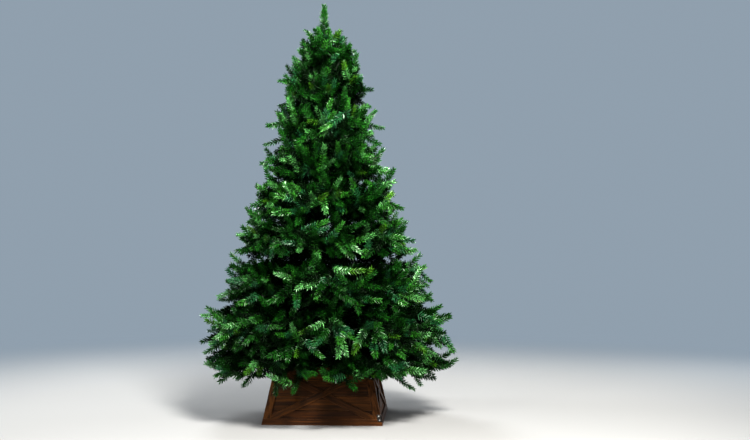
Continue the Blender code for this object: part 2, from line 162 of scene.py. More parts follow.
def endTree(board, geometry, finishes):
    # the last nodes: a plain mesh, and its one finish or that of each shade number
    geometry = board.node("GeometryNodeRealizeInstances", None, {"Geometry": geometry}, out=0)
    if isinstance(finishes, Wire):
        inputs = {"Geometry": geometry, "Material": finishes}
        geometry = board.node("GeometryNodeSetMaterial", None, inputs, out=0)
    else:
        shade = board.stored("shade", "INT")
        for number, material in enumerate(finishes):
            settings = {"data_type": "INT", "operation": "EQUAL"}
            same = board.node("FunctionNodeCompare", settings, {2: shade, 3: number}, out=0)
            inputs = {"Geometry": geometry, "Selection": same, "Material": material}
            geometry = board.node("GeometryNodeSetMaterial", None, inputs, out=0)
    board.node("NodeGroupOutput", None, {"Geometry": geometry})


def runTree(name, source, tree, values):
    # grows a tree's mesh on a skeleton object, and keeps only the plain mesh
    modifier = source.modifiers.new(tree.name, "NODES")
    modifier.node_group = tree
    for item in tree.interface.items_tree:
        if item.name in values and item.in_out == "INPUT":
            modifier[item.identifier] = values[item.name]
    graph = bpy.context.evaluated_depsgraph_get()
    mesh = bpy.data.meshes.new_from_object(source.evaluated_get(graph), depsgraph=graph)
    source.modifiers.remove(modifier)
    bpy.data.objects.remove(source, do_unlink=True)
    mesh.name = name
    for label in ("shade", "thick", "size", "along", "turn", "pitch"):
        if label in mesh.attributes:
            mesh.attributes.remove(mesh.attributes[label])
    return addObject(name, mesh)


def addObject(name, mesh):
    piece = bpy.data.objects.new(name, mesh)
    bpy.context.scene.collection.objects.link(piece)
    return piece


def meshObject(name, vertices, edges=(), faces=(), values=None):
    # values: {attribute: (type, one value for each vertex)}
    mesh = bpy.data.meshes.new(name)
    mesh.from_pydata(vertices, edges, faces)
    for label, (kind, numbers) in (values or {}).items():
        field = "vector" if kind == "FLOAT_VECTOR" else "value"
        flat = [part for number in numbers for part in number] if field == "vector" else numbers
        mesh.attributes.new(label, kind, "POINT").data.foreach_set(field, flat)
    return addObject(name, mesh)


def fit(piece, slot, *nodes):
    # every finished piece rides on the one body, and stands for its CAD nodes
    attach(piece, "root")
    if nodes:
        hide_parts(*nodes)


# the crown: the solids' own tiers, with a finer profile
crown = {
    "profile": (  # (height, how far the tips reach)
        (0.15, 0.35), (0.19, 0.44), (0.23, 0.56), (0.27, 0.68), (0.32, 0.775), (0.38, 0.70),
        (0.44, 0.60), (0.52, 0.63), (0.60, 0.55), (0.70, 0.51), (0.80, 0.475), (1.05, 0.40),
        (1.17, 0.345), (1.29, 0.315), (1.37, 0.26), (1.45, 0.226), (1.56, 0.248), (1.66, 0.214),
        (1.78, 0.19), (1.82, 0.165), (1.90, 0.135), (1.945, 0.105), (1.965, 0.085), (1.985, 0.03),
    ),
    "boughsPerTier": (6, 6, 5, 5, 5, 4, 4, 3, 3),
    "foot": 0.475,  # where the lowest tier starts at the pole
    "top": 1.84,  # where the highest one ends
    "crowding": 1.3,  # over 1, the lower tiers stand closer together than the upper ones
    "slopes": (-0.55, 1.05),  # of the crown's lowest and highest boughs
    "turn": math.radians(137.5),
    "reachStart": 0.3,  # the radius that the search for a tier's reach starts from
    "reachSteps": 12,
    "lean": 0.030,  # how much further the tips reach on the right than in the middle
    "widest": 0.705,  # no tip stands further out
}


def blend(a, b, share):
    return a + (b - a) * share


def around(angle, radius=1.0, height=0.0):
    return Vector((radius * math.cos(angle), radius * math.sin(angle), height))


def crownReach(height):
    profile = crown["profile"]
    if height <= profile[0][0]:
        return profile[0][1]
    for (z0, r0), (z1, r1) in zip(profile, profile[1:]):
        if height <= z1:
            return blend(r0, r1, (height - z0) / (z1 - z0))
    return profile[-1][1]


def tierEdge(share):
    height = blend(crown["foot"], crown["top"], share ** crown["crowding"])
    return height, blend(*crown["slopes"], share)


class Space:
    # the wedge of the crown that one mass keeps to: between two cones and two upright planes
    def __init__(self, tier, index):
        counts = crown["boughsPerTier"]
        self.tier = tier
        self.node = f"foliage_tier{tier + 1}_mass{index + 1}"
        self.half = math.pi / counts[tier]
        self.centre = (tier * crown["turn"] + index * math.tau / counts[tier]) % math.tau
        self.low = tierEdge(tier / len(counts))
        self.high = tierEdge((tier + 1) / len(counts))
        self.rise = (tier + 0.5) / len(counts)  # 0 at the crown's foot, 1 at its top

    def height(self, radius, share):
        low = self.low[0] + self.low[1] * radius
        high = self.high[0] + self.high[1] * radius
        return blend(low, high, share)

    def reach(self, share):
        radius = crownReach(self.height(crown["reachStart"], share))
        for _ in range(crown["reachSteps"]):
            radius = 0.5 * (radius + crownReach(self.height(radius, share)))
        return radius * (1 + crown["lean"] * math.cos(self.centre))

    def columns(self, radius, spacing):
        return max(1, round(2 * self.half * radius / spacing))

    def turn(self, place):
        # from the middle of the wedge, for a place from 0 to 1 across it
        return self.half * (2 * place - 1)

    def point(self, radius, turn, share):
        return around(self.centre + turn, radius, self.height(radius, share))


foliage = {
    "layers": (  # (share of the reach, spacing of the tips round, and up the crown's face)
        (1.00, 0.082, 0.078),
        (0.87, 0.076, 0.074),
        (0.68, 0.110, 0.104),
        (0.46, 0.140, 0.140),
    ),
    "coarseFrom": 2,  # the first of the layers whose needles only fill the inside with painted shade
    "coarse": (1.65, 1.85),  # size and pitch of the needles there
    "filling": (  # (share of the reach, share of the tier's height)
        (0.15, 0.5), (0.26, 0.06), (0.48, 0.0), (0.34, 1.0), (0.56, 0.94),
    ),
    "topFilling": ((0.15, 0.5), (0.26, 0.06), (0.48, 0.0), (0.40, 0.25)),  # in the last tier
    "fillingSpacing": (0.20, 0.08),  # in the lower tiers, and where the sprays are shorter
    "fillingStray": (0.15, 0.85),  # where in its spacing a spray stands
    "fillingLean": 0.4,
    "hem": 0.14,  # share of the lowest tier's height below which it has no tips
    "apron": ((0.16, -0.8), (0.32, -0.7), (0.46, -0.45)),  # filling below the lowest tier
    "apronSpacing": 0.11,
    "underside": (0.45, 0.62, 0.78, 0.92),  # shares of the reach, below the lowest boughs
    "undersideSpacing": 0.062,
    "undersideRise": (0.10, 0.36),  # shares of the lowest tier's height
    "undersideStray": (0.2, 0.8),
    "undersideUneven": (0.94, 1.04),
    "undersideLayer": 1,  # their greens and needles are those of this layer
    "sprigShade": "emerald",
    "sprigs": (  # over the collar's corner, and at the widest tips: (mass, tip, direction, length)
        ("foliage_tier1_mass5", (-0.216, -0.415, 0.166), (-0.10, -0.25, -1.0), 0.14),
        ("foliage_tier1_mass5", (-0.172, -0.425, 0.205), (0.15, -0.35, -1.0), 0.13),
        ("foliage_tier1_mass1", (0.672, -0.02, 0.290), (1.0, -0.1, 0.35), 0.11),
        ("foliage_tier1_mass1", (0.645, 0.02, 0.325), (1.0, 0.1, 0.60), 0.12),
        ("foliage_tier1_mass1", (0.640, -0.04, 0.265), (1.0, -0.1, 0.10), 0.12),
        ("foliage_tier1_mass1", (0.560, -0.06, 0.200), (1.0, 0.1, -0.3), 0.14),
        ("foliage_tier2_mass5", (0.642, 0.02, 0.500), (1.0, 0.1, 0.35), 0.14),
        ("foliage_tier2_mass5", (0.590, -0.03, 0.560), (1.0, -0.1, 0.45), 0.13),
        ("foliage_tier2_mass2", (-0.590, -0.02, 0.550), (-1.0, 0.05, 0.35), 0.13),
    ),
    "parting": ((-0.13, 0.27), 0.268),  # over the collar's front, no tip hangs lower than this
    "sprayLength": (0.115, 0.150),
    "topLength": (0.8, 0.8),  # above this share of the crown, the sprays are this much shorter
    "longest": 0.92,  # of the way from a bough to the spray's tip
    "nearness": 0.25,  # how much a spray prefers a near bough to one that suits its length
    "bareTwig": 0.035,  # between a bough and a spray's first needles
    "lift": (-0.10, 0.25),  # how much the tips turn up, at the foot and at the top of the crown
    "wander": 0.32,  # how far a tip's direction strays
    "stagger": (0.25, 0.75),  # where the first tip of each row stands, in columns
    "scatter": 0.30,  # how far a tip strays from its row and column
    "dip": 0.19,  # how much shorter the crown is between two boughs
    "dipReach": 0.13,  # how far from a bough's end that is
    "dipStart": 0.14,  # from the bough's end, as a share of the reach
    "uneven": (-0.05, 0.11),  # how much shorter any tip may be
    "bend": 0.10,  # how far a spray bows, as a share of its length
    "bendUneven": (0.2, 1.4),
    "unevenNeedles": (0.88, 1.08),
    "twigBend": 0.02,  # how far a bare twig runs on along its spray
    "twigEnd": 0.006,  # how far short of the tip its wire ends
    "twigThick": (0.0016, 0.0015, 0.0013, 0.0012, 0.0010, 0.0007),
    "twigSteps": 2,  # of a bare twig
    "spraySteps": 3,
    "twigSides": 3,
    "litByTier": (0.9, 1.0, 1.1, 1.4, 2.4, 3.4, 2.8, 1.0, 0.5),  # weight of the paler greens, by tier: painted light, paler in the crown's middle, darker at its foot and top
    "mostTriangles": 190000,  # in one piece
    "seedStep": 1000,  # for each tier, and for each radian round the crown
}

limbs = {
    "ring": 0.028,  # radius at which a stem hangs on the pole's ring
    "stem": ((0.3, 0.46), (0.8, 0.5)),  # (share of the reach, share of the tier's height)
    "stemThick": (0.0055, 0.0028),
    "stemSteps": 6,
    "spacing": 0.20,  # between the ends of side boughs, round the crown
    "fork": (0.22, 0.34),  # where a side bough leaves the stem
    "middle": (0.55, 0.6),  # shares of the reach and of its turn at a bough's middle
    "end": 0.86,
    "heights": (0.3, 0.7),  # of the ends, by turns
    "loneHeight": 0.44,  # of the end of a tier's only bough
    "drawnIn": (0.9, 1.0),  # how far the ends keep from a neighbour's wedge
    "boughThick": (0.0032, 0.0018),
    "boughSteps": 10,
    "offshoots": (0.2, 0.36, 0.52, 0.68, 0.84),  # places along a bough, by turns above and below it
    "offshootAhead": 0.85,  # how much its direction follows the bough
    "offshootRise": 0.8,
    "offshootDrop": (-0.2, -0.7),  # in the lowest tier, and in the others
    "offshootStray": 0.7,
    "offshootStart": 0.02,  # bare, from the bough
    "offshootRoom": 4.0,  # sprays are shorter in a tier that reaches less than 1 / this
    "shadeUpTo": 0.6,  # share of the bough inside which offshoots take the deep green, as painted shade
    "stemNeedles": 1.2,  # size of the painted-shade needles that hide a stem
    "boughNeedles": 1.1,
    "pitch": 0.0014,  # of both
}

needle = {
    "length": 0.029,
    "width": 0.0040,
    "pitch": 0.00102,  # of wire for each needle
    "turn": math.radians(180 + 14),  # two strips of film twisted with the wire
    "spreadFoot": math.radians(58),  # between a needle and its wire
    "spreadTip": math.radians(32),
    "shadedFoot": 0.55,  # of a spray, where the needles take the next deeper green as painted shade
    "footWidth": 0.64,  # share of the width
    "widest": 0.55,  # share of the length
    "bow": 0.06,  # share of the length
    "pointBow": 0.6,  # share of the bow at its point
    "looseTurn": 0.40,
    "looseSpread": 0.16,
    "looseRoll": 0.5,
    "shorterTip": 0.30,  # how much shorter the needles are at a spray's tip
    "closing": 2.2,  # over 1, the spread and the length change only towards the tip
    "shortening": 3.0,
    "unevenLength": (0.84, 1.08),
    "seed": 7,
    "seedStep": 11,  # for each tier
}

# the first green, near-black, is painted shade for the crown's inside; the inner sprays' shares lean to the
# darker greens as painted shade
# finishes of the film the needles are cut from, each paler than the last:
# (colour, roughness, gloss, share of the outer sprays, share of the inner ones)
greens = {
    "night": ((0.0006, 0.007, 0.0005), 0.50, 0.05, 0, 10),
    "deep": ((0.0018, 0.026, 0.0011), 0.45, 0.12, 7, 6),
    "emerald": ((0.0055, 0.058, 0.0030), 0.43, 0.35, 6, 3),
    "blue": ((0.008, 0.068, 0.020), 0.42, 0.50, 3, 1),
    "leaf": ((0.016, 0.102, 0.007), 0.43, 0.50, 5.5, 1),
    "bright": ((0.050, 0.170, 0.044), 0.42, 0.70, 4.5, 0),
    "lime": ((0.034, 0.110, 0.004), 0.43, 0.40, 2.0, 0),
}
shades = {name: number for number, name in enumerate(greens)}


def makeNeedle():
    # a strip of film: two long faces and a pointed end, slightly bowed
    length, width = needle["length"], needle["width"]
    foot, middle, bow = needle["footWidth"] * width / 2, needle["widest"] * length, needle["bow"] * length
    outline = (
        (-foot, 0, 0), (foot, 0, 0),
        (width / 2, bow, middle), (-width / 2, bow, middle),
        (0, needle["pointBow"] * bow, length),
    )
    strip = meshObject("needleShape", outline, faces=((0, 1, 2, 3), (3, 2, 4)))
    strip.data.shade_smooth()
    return strip


def needleTree(finishes):
    # needles all round each wire, swept to its tip, closer to the wire towards the end
    tree, board, given = makeTree("needlesOnWires", (
        ("Needle", "NodeSocketObject", None),
        ("Spread at foot", "NodeSocketFloat", needle["spreadFoot"]),
        ("Spread at tip", "NodeSocketFloat", needle["spreadTip"]),
        ("Turn", "NodeSocketFloat", needle["turn"]),
        ("Painted shade at foot", "NodeSocketFloat", needle["shadedFoot"]),
        ("Loose turn", "NodeSocketFloat", needle["looseTurn"]),
        ("Loose spread", "NodeSocketFloat", needle["looseSpread"]),
        ("Loose roll", "NodeSocketFloat", needle["looseRoll"]),
        ("Shorter tip", "NodeSocketFloat", needle["shorterTip"]),
        ("Seed", "NodeSocketInt", needle["seed"]),
    ))

    def chance(low, high, offset):
        inputs = {2: low, 3: high, "Seed": given["Seed"] + offset}
        return board.node("FunctionNodeRandomValue", {"data_type": "FLOAT"}, inputs, out=1)

    def loose(label, offset):
        return chance(0.0 - given[label], given[label], offset)

    curve = board.node("GeometryNodeMeshToCurve", None, {"Mesh": given["Geometry"]}, out=0)
    factor = board.node("GeometryNodeSplineParameter", out="Factor")
    curve = board.store("along", factor, curve)
    inputs = {"Curve": curve, "Length": board.stored("pitch")}
    points = board.node("GeometryNodeCurveToPoints", {"mode": "LENGTH"}, inputs)
    along, size = board.stored("along"), board.stored("size")
    index = board.node("GeometryNodeInputIndex", out=0)
    closer = (given["Spread at tip"] - given["Spread at foot"]) * along ** needle["closing"]
    spread = given["Spread at foot"] + closer + loose("Loose spread", 1)
    azimuth = index * given["Turn"] + loose("Loose turn", 2)
    rotation = Wire(board, points.outputs["Rotation"])
    for angles in ({"Y": spread, "Z": azimuth}, {"Z": loose("Loose roll", 3)}):
        euler = board.node("ShaderNodeCombineXYZ", None, angles, out=0)
        turn = board.node("FunctionNodeEulerToRotation", None, {0: euler}, out=0)
        inputs = {"Rotation": rotation, "Rotate By": turn}
        rotation = board.node("FunctionNodeRotateRotation", {"rotation_space": "LOCAL"}, inputs, out=0)
    # needles near a spray's foot take the next deeper green: painted shade
    footShade = board.maths("LESS_THAN", along, given["Painted shade at foot"])
    shade = board.maths("MAXIMUM", board.stored("shade", "INT") - footShade, 0.0)
    dealt = board.store("shade", shade, Wire(board, points.outputs["Points"]), "INT")
    shorter = given["Shorter tip"] * along ** needle["shortening"]
    length = size * chance(*needle["unevenLength"], 4) * (1.0 - shorter)
    scale = board.node("ShaderNodeCombineXYZ", None, {"X": size, "Y": length, "Z": length}, out=0)
    shape = board.node("GeometryNodeObjectInfo", None, {"Object": given["Needle"]}, out="Geometry")
    needles = board.node("GeometryNodeInstanceOnPoints", None, {
        "Points": dealt, "Instance": shape, "Rotation": rotation, "Scale": scale,
    }, out=0)
    endTree(board, needles, finishes)
    return tree


def wireTree():
    # round wires of three or more sides along a skeleton, as thick as its points say
    tree, board, given = makeTree("wires", (
        ("Sides", "NodeSocketInt", 3),
        ("Finish", "NodeSocketMaterial", None),
    ))
    curve = board.node("GeometryNodeMeshToCurve", None, {"Mesh": given["Geometry"]}, out=0)
    inputs = {"Resolution": given["Sides"], "Radius": 1.0}
    ring = board.node("GeometryNodeCurvePrimitiveCircle", None, inputs, out=0)
    inputs = {"Curve": curve, "Profile Curve": ring, "Scale": board.stored("thick"), "Fill Caps": True}
    tubes = board.node("GeometryNodeCurveToMesh", None, inputs, out=0)
    endTree(board, tubes, given["Finish"])
    return tree


def bowed(start, middle, end, steps):
    # points of a smooth bow from start to end, drawn towards middle
    places = [i / steps for i in range(steps + 1)]
    return [start * (1 - t) ** 2 + middle * (2 * t * (1 - t)) + end * t**2 for t in places]


def tapered(ends, steps):
    return [blend(*ends, i / steps) for i in range(steps + 1)]


class Skeleton:
    # lines of points with values on them, for a node tree to grow on
    kinds = {"shade": "INT", "size": "FLOAT", "pitch": "FLOAT", "thick": "FLOAT"}

    def __init__(self, *labels):
        self.points = []
        self.edges = []
        self.values = {label: [] for label in labels}

    def add(self, points, **values):
        first = len(self.points)
        self.points += points
        self.edges += [(first + i, first + i + 1) for i in range(len(points) - 1)]
        for label, value in values.items():
            self.values[label] += value if isinstance(value, list) else [value] * len(points)

    def take(self, other):
        first = len(self.points)
        self.points += other.points
        self.edges += [(a + first, b + first) for a, b in other.edges]
        for label, values in self.values.items():
            values += other.values[label]

    def triangles(self):
        # about what the needles on these lines come to, at three for each
        pitches = self.values["pitch"]
        return 3 * sum((self.points[a] - self.points[b]).length / pitches[a] for a, b in self.edges)

    def toObject(self, name):
        values = {label: (self.kinds[label], numbers) for label, numbers in self.values.items()}
        return meshObject(name, self.points, self.edges, values=values)


class Grower:
    # sprays of needles on twigs, for one mass or for the leader
    def __init__(self, seed, wires):
        self.rng = random.Random(seed)
        self.wires = wires
        self.sprays = Skeleton("shade", "size", "pitch")

    def deal(self, inner, paler):
        # inner sprays draw from the darker greens as painted shade; the tier's weight on the paler greens is
        # painted light
        column = 4 if inner else 3
        weights = [green[column] for green in greens.values()]
        for number in range(shades["leaf"], len(greens)):
            weights[number] *= paler
        return self.rng.choices(range(len(greens)), weights)[0]

    def stray(self, amount):
        return Vector([self.rng.uniform(-amount, amount) for _ in range(3)])

    def spray(self, joint, end, direction, length, shade, coarse=False):
        # the spray's bowed wire, and the bare twig that brings it from its bough
        foot = end - direction * length
        sag = Vector((0, 0, -1)) * foliage["bend"] * length * self.rng.uniform(*foliage["bendUneven"])
        line = bowed(foot, (foot + end) / 2 + sag, end, foliage["spraySteps"])
        size, pitch = foliage["coarse"] if coarse else (1.0, 1.0)
        size *= self.rng.uniform(*foliage["unevenNeedles"])
        self.sprays.add(line, shade=shade, size=size, pitch=needle["pitch"] * pitch)
        twig = bowed(joint, foot - direction * foliage["twigBend"], foot, foliage["twigSteps"])
        wireEnd = end - direction * foliage["twigEnd"]
        self.wires.add([*twig, *line[1:-1], wireEnd], thick=list(foliage["twigThick"]))


class Mass(Grower):
    # a stem from the pole, side boughs off it, twigs off those, and a spray on each twig
    def __init__(self, space, wires):
        step = foliage["seedStep"]
        super().__init__(step * space.tier + round(step * space.centre), wires)
        self.space = space
        self.reach = space.reach(0.5)
        self.boughs = []
        self.stem()
        self.sideBoughs()
        self.joints = [point for bough in self.boughs for point in bough[1:]]
        self.offshoots()
        for layer in range(len(foliage["layers"])):
            self.layer(layer)
        narrow = space.rise > foliage["topLength"][0]
        last = space.tier == len(crown["boughsPerTier"]) - 1
        self.filling(foliage["topFilling" if last else "filling"], foliage["fillingSpacing"][narrow], "night")
        if space.tier == 0:
            self.filling(foliage["apron"], foliage["apronSpacing"], "deep")
            self.underside()
        self.sprigs()

    def stem(self):
        places = [(limbs["ring"], 0.5)] + [(share * self.reach, height) for share, height in limbs["stem"]]
        stem = bowed(*(self.space.point(radius, 0, height) for radius, height in places), limbs["stemSteps"])
        self.wires.add(stem, thick=tapered(limbs["stemThick"], limbs["stemSteps"]))
        self.shadowNeedles(stem[:-1], limbs["stemNeedles"])

    def shadowNeedles(self, line, size):
        # needles in the painted-shade green that hide a limb
        self.sprays.add(line, shade=shades["night"], size=size, pitch=limbs["pitch"])

    def sideBoughs(self):
        space, rng, steps = self.space, self.rng, limbs["boughSteps"]
        count = space.columns(self.reach, limbs["spacing"])
        low, high = limbs["heights"]
        middle, swing = limbs["middle"]
        for number in range(count):
            turn = space.turn((number + 0.5) / count) * rng.uniform(*limbs["drawnIn"])
            share = high if (number + space.tier) % 2 else low
            if count == 1:
                share = limbs["loneHeight"]
            bough = bowed(
                space.point(rng.uniform(*limbs["fork"]) * self.reach, 0, 0.5),
                space.point(middle * self.reach, swing * turn, blend(0.5, share, swing)),
                space.point(limbs["end"] * self.reach, turn, share),
                steps,
            )
            self.boughs.append(bough)
            self.shadowNeedles(bough[1:], limbs["boughNeedles"])
            self.wires.add(bough, thick=tapered(limbs["boughThick"], steps))

    def offshoots(self):
        # sprays above and below each bough, deep green near the pole as painted shade, paler towards its end
        rise, drop = limbs["offshootRise"], limbs["offshootDrop"][min(self.space.tier, 1)]
        shorter = min(1.0, limbs["offshootRoom"] * self.reach)
        for number, bough in enumerate(self.boughs):
            for step, share in enumerate(limbs["offshoots"]):
                place = round(limbs["boughSteps"] * share)
                joint = bough[place]
                along = (bough[place + 1] - joint).normalized()
                aside = self.rng.uniform(-limbs["offshootStray"], limbs["offshootStray"])
                direction = limbs["offshootAhead"] * along + along.cross(Vector((0, 0, 1))) * aside
                direction.z += rise if (step + number) % 2 else drop
                direction.normalize()
                length = self.rng.uniform(*foliage["sprayLength"]) * shorter
                tip = joint + direction * (limbs["offshootStart"] + length)
                shade = shades["emerald"] if share > limbs["shadeUpTo"] else shades["deep"]
                self.spray(joint, tip, direction, length, shade)

    def grid(self, full, across, upward):
        # places over the mass's face: (turn, share of its height)
        space, rng = self.space, self.rng
        span = (space.point(self.reach, 0, 1.0) - space.point(self.reach, 0, 0.0)).length
        rows = max(1, round(span / upward))
        hem = foliage["hem"] if space.tier == 0 else 0.0
        scatter = foliage["scatter"]
        for row in range(rows):
            share = (row + 0.5) / rows
            columns = space.columns(space.reach(share) * full, across)
            for column in range(columns):
                place = (column + foliage["stagger"][row % 2] + rng.uniform(-scatter, scatter)) / columns
                share = (row + 0.5 + rng.uniform(-scatter, scatter)) / rows
                yield space.turn(place), blend(hem, 1.0, share)

    def layer(self, layer):
        full, across, upward = foliage["layers"][layer]
        for turn, share in self.grid(full, across, upward):
            radius = self.space.reach(share) * full
            end = self.space.point(radius, turn, share)
            apart = min((end - bough[-1]).length for bough in self.boughs) - foliage["dipStart"] * self.reach
            apart = max(0.0, min(apart / foliage["dipReach"], 1.0))
            dip = foliage["dip"] * apart**2 + self.rng.uniform(*foliage["uneven"])
            self.aim(self.space.point(min(radius * (1 - dip), crown["widest"]), turn, share), layer)

    def aim(self, end, layer):
        # a spray that ends at a place in the crown, from the bough that suits its length
        (left, right), lowest = foliage["parting"]
        if left < end.x < right and end.y < 0:
            end.z = max(end.z, lowest)
        topFrom, shorter = foliage["topLength"]
        length = self.rng.uniform(*foliage["sprayLength"]) * (shorter if self.space.rise > topFrom else 1.0)
        span = length + foliage["bareTwig"]

        def fitness(point):
            away = (end - point).length
            return abs(away - span) + foliage["nearness"] * away

        joint = min(self.joints, key=fitness)
        toTip = (end - joint).normalized()
        lift = Vector((0, 0, blend(*foliage["lift"], self.space.rise)))
        stray = self.stray(foliage["wander"])
        stray -= toTip * stray.dot(toTip)
        direction = (toTip + lift + stray).normalized()
        shade = self.deal(layer > 0, foliage["litByTier"][self.space.tier])
        length = min(length, foliage["longest"] * (end - joint).length)
        self.spray(joint, end, direction, length, shade, layer >= foliage["coarseFrom"])

    def turns(self, radius, spacing, stray):
        # turns across the wedge, each at random in its own column
        count = self.space.columns(radius, spacing)
        for number in range(count):
            yield self.space.turn((number + self.rng.uniform(*stray)) / count)

    def nearest(self, place):
        return min(self.joints, key=lambda point: (place - point).length)

    def filling(self, places, spacing, shade):
        # upright sprays that close the crown's inside between two tiers; in the near-black green they are
        # painted shade
        length, tilt = foliage["sprayLength"][1], foliage["fillingLean"]
        for full, share in places:
            radius = self.space.reach(share) * full
            for turn in self.turns(radius, spacing, foliage["fillingStray"]):
                foot = self.space.point(radius, turn, share)
                lean = Vector([self.rng.uniform(-tilt, tilt) for _ in range(2)] + [1.0]).normalized()
                end = foot + lean * length / 2
                self.spray(self.nearest(foot), end, lean, length, shades[shade], True)

    def underside(self):
        # tips that hang from the lowest boughs, over the stand
        for full in foliage["underside"]:
            radius = self.space.reach(0) * full
            for turn in self.turns(radius, foliage["undersideSpacing"], foliage["undersideStray"]):
                share = self.rng.uniform(*foliage["undersideRise"])
                uneven = self.rng.uniform(*foliage["undersideUneven"])
                self.aim(self.space.point(radius * uneven, turn, share), foliage["undersideLayer"])

    def sprigs(self):
        # the few sprays that are listed
        for node, tip, direction, length in foliage["sprigs"]:
            if node == self.space.node:
                tip = Vector(tip)
                direction = Vector(direction).normalized()
                self.spray(self.nearest(tip), tip, direction, length, shades[foliage["sprigShade"]])


def makeFoliage():
    finishes = []
    for name, (colour, roughness, gloss, *_) in greens.items():
        values = {"Base Color": colour, "Roughness": roughness, "Specular IOR Level": gloss}
        finishes.append(makeMaterial(name + "Film", values))
    values = {"Base Color": (0.005, 0.018, 0.005), "Roughness": 0.6, "Specular IOR Level": 0.15}
    bark = makeMaterial("twigWrap", values)
    strip = makeNeedle()
    needles = needleTree(finishes)
    wire = wireTree()
    for tier, count in enumerate(crown["boughsPerTier"]):
        wires = Skeleton("thick")
        masses = [Mass(Space(tier, index), wires) for index in range(count)]
        parts = math.ceil(sum(mass.sprays.triangles() for mass in masses) / foliage["mostTriangles"])
        for part in range(parts):
            chosen = masses[part::parts]
            joined = Skeleton("shade", "size", "pitch")
            for mass in chosen:
                joined.take(mass.sprays)
            name = f"needles_tier{tier + 1}" + (f"_{'abc'[part]}" if parts > 1 else "")
            values = {"Needle": strip, "Seed": needle["seedStep"] * tier + part}
            piece = runTree(name, joined.toObject(name + "_lines"), needles, values)
            fit(piece, "foliage", *[mass.space.node for mass in chosen])
            print(name, len(piece.data.polygons), "faces")
        makeTwigs(f"twigs_tier{tier + 1}", wires, wire, bark, foliage["twigSides"])
    makeLeader(strip, needles, wire, bark)
    bpy.data.objects.remove(strip, do_unlink=True)


def makeTwigs(name, wires, wire, bark, sides):
    piece = runTree(name, wires.toObject(name + "_lines"), wire, {"Sides": sides, "Finish": bark})
    piece.data.shade_smooth()
    fit(piece, "foliage")


leader = {
    "foot": 1.902,
    "end": 2.080,
    "needleSize": 1.20,
    "pitch": 0.00070,
    "shade": "emerald",
    # the lower half of the leader's needles take the next deeper green, as painted shade
    "shadedFoot": 0.5,
    "spreadFoot": math.radians(72),
    "spreadTip": math.radians(20),
    "looseSpread": 0.36,
    "ruffs": (  # short sprays round its foot: (how many, radius and height of the tips, length)
        (8, 0.086, 1.952, 0.085),
        (5, 0.042, 1.966, 0.075),
    ),
    "ruffJoint": (0.008, 1.880),
    "ruffPlace": (0.2, 0.8),  # of a tip in its share of the turn
    "ruffUneven": (0.85, 1.1),
    "ruffRise": (-0.015, 0.01),
    "ruffStray": 0.15,
    "bow": 0.002,
    "thick": (0.003, 0.001),
    "steps": 5,
    "sides": 6,
    "seed": 5,
}


def makeLeader(strip, needles, wire, bark):
    # the upright spray that ends the tree, and the ruffs that close the crown round its foot
    wires = Skeleton("thick")
    grower = Grower(leader["seed"], wires)
    foot = Vector((0, 0, leader["foot"]))
    end = Vector((0, 0, leader["end"]))
    line = bowed(foot, (foot + end) / 2 + Vector((leader["bow"], 0, 0)), end, leader["steps"])
    wires.add(line, thick=tapered(leader["thick"], leader["steps"]))
    grower.sprays.add(line, shade=shades[leader["shade"]], size=leader["needleSize"], pitch=leader["pitch"])
    for count, radius, height, length in leader["ruffs"]:
        for number in range(count):
            along = around(math.tau * (number + grower.rng.uniform(*leader["ruffPlace"])) / count)
            joint = along * leader["ruffJoint"][0] + Vector((0, 0, leader["ruffJoint"][1]))
            tip = along * radius * grower.rng.uniform(*leader["ruffUneven"])
            tip.z = height + grower.rng.uniform(*leader["ruffRise"])
            direction = ((tip - joint).normalized() + grower.stray(leader["ruffStray"])).normalized()
            grower.spray(joint, tip, direction, length, grower.deal(False, foliage["litByTier"][-1]))
    source = grower.sprays.toObject("leader_lines")
    values = {
        "Needle": strip,
        "Seed": leader["seed"],
        "Painted shade at foot": leader["shadedFoot"],
        "Spread at foot": leader["spreadFoot"],
        "Spread at tip": leader["spreadTip"],
        "Loose spread": leader["looseSpread"],
    }
    fit(runTree("needles_leader", source, needles, values), "foliage", "foliage_leader")
    makeTwigs("twigs_leader", wires, wire, bark, leader["sides"])


makeFoliage()
print("foliage done")


def ringFaces(rings):
    # faces between rings of as many points; a ring that repeats one point is a pole
    faces = []
    for low, high in zip(rings, rings[1:]):
        for i in range(len(low)):
            j = (i + 1) % len(low)
            faces.append(tuple(dict.fromkeys((low[i], low[j], high[j], high[i]))))
    return faces


def turned(name, profile, sides, material=None):
    # a closed solid turned about Z from (radius, height) points that start and end on the axis
    vertices, rings = [], []
    for radius, height in profile:
        if radius == 0:
            rings.append([len(vertices)] * sides)
            vertices.append((0, 0, height))
        else:
            rings.append(range(len(vertices), len(vertices) + sides))
            vertices += [around(math.tau * i / sides, radius, height) for i in range(sides)]
    piece = meshObject(name, vertices, faces=ringFaces(rings))
    closeUp(piece)
    if material:
        piece.data.materials.append(material)
    return piece


def shadeSmooth(piece, sharp):
    # smooth but for the edges that turn by more degrees than this
    piece.data.shade_smooth()
    piece.data.set_sharp_from_angle(angle=math.radians(sharp))


def closeUp(piece, sharp=35):
    # doubled points joined, and the faces turned outwards
    shell = bmesh.new()
    shell.from_mesh(piece.data)
    bmesh.ops.remove_doubles(shell, verts=shell.verts, dist=0.00001)
    bmesh.ops.recalc_face_normals(shell, faces=shell.faces)
    shell.to_mesh(piece.data)
    shell.free()
    shadeSmooth(piece, sharp)


def shellObject(name, shell, material=None):
    mesh = bpy.data.meshes.new(name)
    shell.to_mesh(mesh)
    shell.free()
    if material:
        mesh.materials.append(material)
    return addObject(name, mesh)


